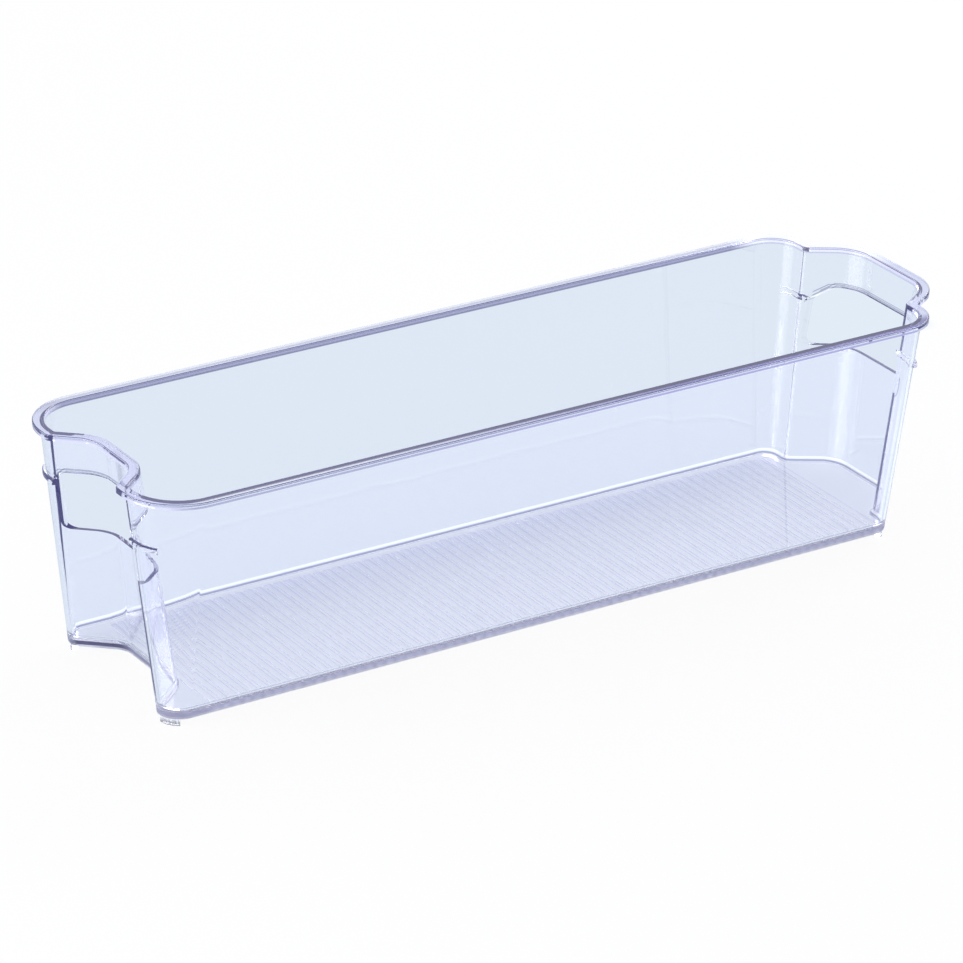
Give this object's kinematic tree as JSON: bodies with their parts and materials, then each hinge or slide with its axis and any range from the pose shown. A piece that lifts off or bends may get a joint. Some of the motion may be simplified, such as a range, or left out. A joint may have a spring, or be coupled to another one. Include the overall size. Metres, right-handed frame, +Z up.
{
  "type": "storage bin",
  "caption": "Narrow open-topped clear plastic fridge bin with drafted walls, rounded corner columns, bowed ends with hand slots, a flanged rim, a ribbed floor and small curved corner feet.",
  "frame": {"origin": "centre of the footprint, on the surface the bin stands on", "axes": "+X along the bin towards the end that bows outwards, +Y across it, +Z up"},
  "size_m": [0.368, 0.11, 0.0948],
  "materials": {
    "clear_shell": "clear, polished, faint blue-violet tint",
    "clear_feet": "clear, polished, almost colourless"
  },
  "bodies": {
    "root": {"bin_shell": "clear_shell", "foot_left_back": "clear_feet", "foot_left_front": "clear_feet", "foot_right_back": "clear_feet", "foot_right_front": "clear_feet"}
  },
  "joints": []
}
